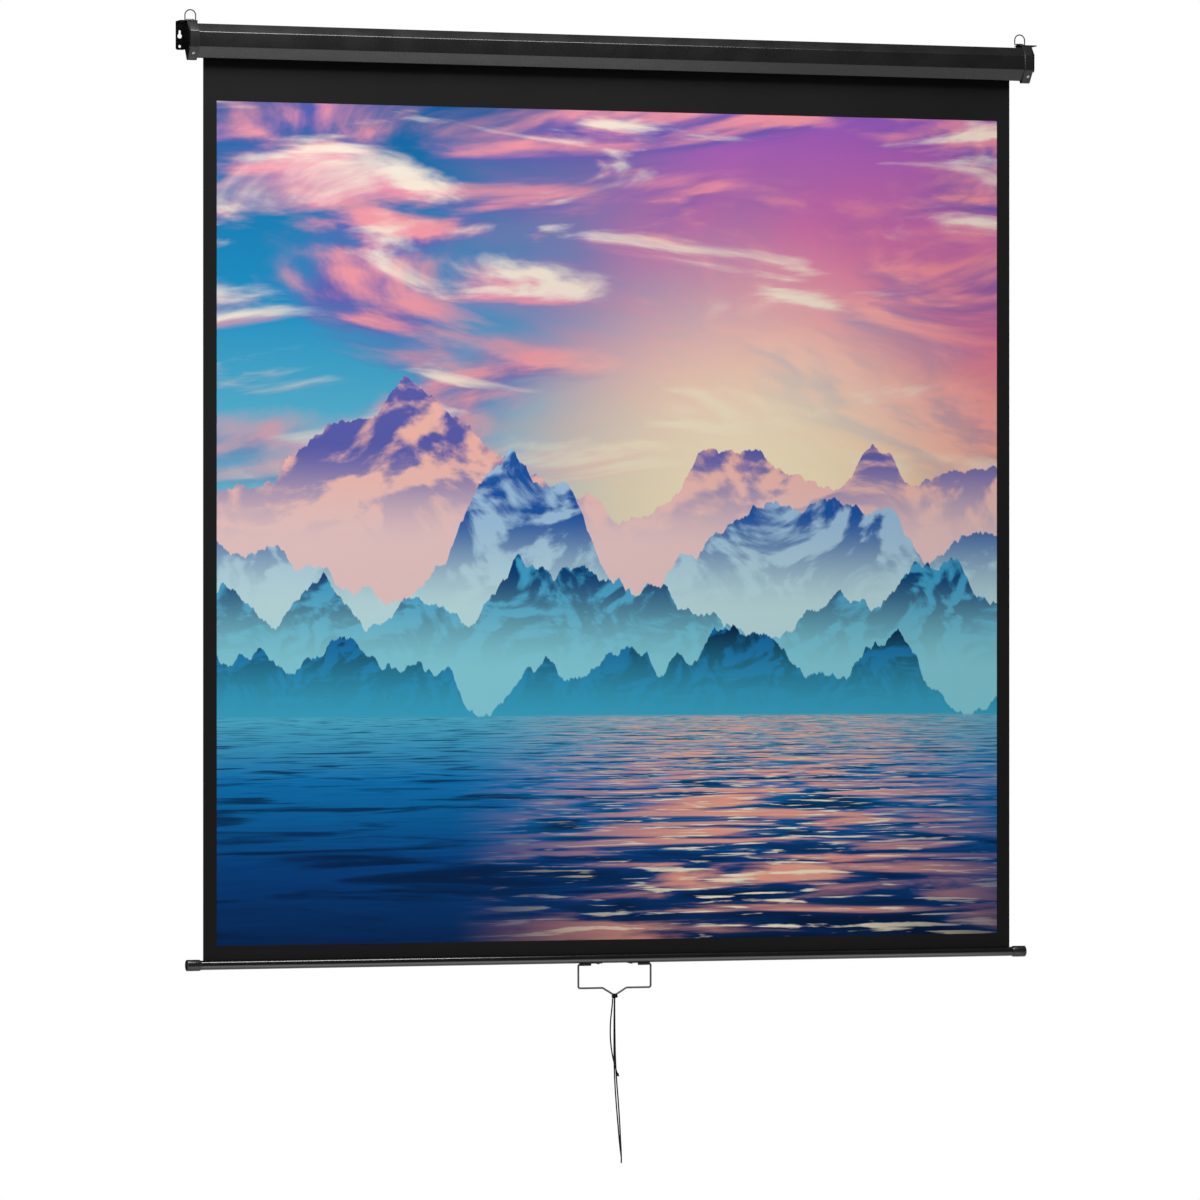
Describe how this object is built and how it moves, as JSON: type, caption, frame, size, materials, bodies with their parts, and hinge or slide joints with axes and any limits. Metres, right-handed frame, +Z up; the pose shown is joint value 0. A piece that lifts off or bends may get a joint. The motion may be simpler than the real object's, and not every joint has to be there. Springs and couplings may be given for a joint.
{
  "type": "projection screen",
  "caption": "Pull-down projection screen: spring roller in a folded housing with keyhole brackets, bordered sheet, weight bar, wire handle and cord.",
  "frame": {"origin": "centre of the housing's flat rear face, on the wall", "axes": "+X to the viewer's right along the housing, +Y into the wall, +Z up"},
  "size_m": [1.9528, 0.055, 2.453],
  "materials": {
    "case_paint": "satin black powder coat",
    "cap_plastic": "moulded black",
    "bracket_paint": "glossy black enamel",
    "zinc_steel": "bright zinc plate",
    "ring_wire": "nickel plate",
    "screen_cloth": "matte white with printed black borders",
    "hem_cloth": "matte black",
    "roller_metal": "mill finish",
    "nylon": "natural moulded",
    "spindle_steel": "drawn bar",
    "spring_steel": "oiled spring wire",
    "pawl_metal": "cast zinc",
    "bar_paint": "semi-gloss black",
    "bar_cap_plastic": "moulded black",
    "black_screw": "black zinc plate",
    "handle_steel": "dull grey wire",
    "cord_black": "braided black"
  },
  "bodies": {
    "case": {"housing": "case_paint", "end_cap_left": "cap_plastic", "end_cap_right": "cap_plastic", "cap_screw_left": "zinc_steel", "cap_screw_right": "zinc_steel", "bracket_screw_left": "zinc_steel", "bracket_screw_right": "zinc_steel", "bracket_left": "bracket_paint", "bracket_right": "bracket_paint", "screen_sheet": "screen_cloth", "idler_bush": "nylon", "lock_disc": "pawl_metal", "spindle": "spindle_steel", "return_spring": "spring_steel"},
    "roller": {"roller_tube": "roller_metal", "fabric_roll": "hem_cloth", "idler_plug": "nylon", "lock_plug": "nylon", "spindle_bush": "nylon"},
    "pawl_high": {"pawl_upper": "pawl_metal"},
    "pawl_low": {"pawl_lower": "pawl_metal"},
    "bar": {"weight_bar": "bar_paint", "bar_cap_left": "bar_cap_plastic", "bar_cap_right": "bar_cap_plastic", "screen_hem": "hem_cloth", "hem_rod": "spindle_steel", "handle_clip_left": "bar_paint", "handle_clip_right": "bar_paint", "clip_screw_left": "black_screw", "clip_screw_right": "black_screw"},
    "handle": {"pull_handle": "handle_steel", "cord_knot": "cord_black"},
    "cord": {"cord_loop": "cord_black", "cord_tail": "cord_black", "tail_knot": "cord_black"},
    "hook_ring_left": {"ring_left": "ring_wire"},
    "hook_ring_right": {"ring_right": "ring_wire"}
  },
  "joints": [
    {"name": "screen_drop", "type": "slide", "parent": "case", "child": "bar", "axis": [0, 0, 1], "range_m": [0, 1.894], "deforming": ["screen_sheet"]},
    {"name": "roller_spin", "type": "hinge", "parent": "case", "child": "roller", "pos_m": [0, -0.02753, -0.012], "axis": [1, 0, 0], "range_deg": [0, 6120]},
    {"name": "pawl_high_drop", "type": "hinge", "parent": "roller", "child": "pawl_high", "pos_m": [-0.9352, -0.02753, 0.0006], "axis": [1, 0, 0], "range_deg": [0, 19]},
    {"name": "pawl_low_drop", "type": "hinge", "parent": "roller", "child": "pawl_low", "pos_m": [-0.9352, -0.02753, -0.0246], "axis": [1, 0, 0], "range_deg": [0, 19]},
    {"name": "handle_swing", "type": "hinge", "parent": "bar", "child": "handle", "pos_m": [0, -0.013, -1.9764], "axis": [1, 0, 0], "range_deg": [-90, 90]},
    {"name": "cord_swing", "type": "hinge", "parent": "handle", "child": "cord", "pos_m": [0, -0.013, -2.0447], "axis": [1, 0, 0], "range_deg": [-90, 90]},
    {"name": "ring_left_swing", "type": "hinge", "parent": "case", "child": "hook_ring_left", "pos_m": [-0.9465, -0.008, 0.0246], "axis": [1, 0, 0], "range_deg": [-90, 90]},
    {"name": "ring_right_swing", "type": "hinge", "parent": "case", "child": "hook_ring_right", "pos_m": [0.9465, -0.008, 0.0246], "axis": [1, 0, 0], "range_deg": [-90, 90]}
  ],
  "couplings": [
    {"joint": "roller_spin", "follows": "screen_drop", "rad_per_m": 56.396},
    {"joint": "cord_swing", "follows": "handle_swing", "ratio": -1}
  ]
}
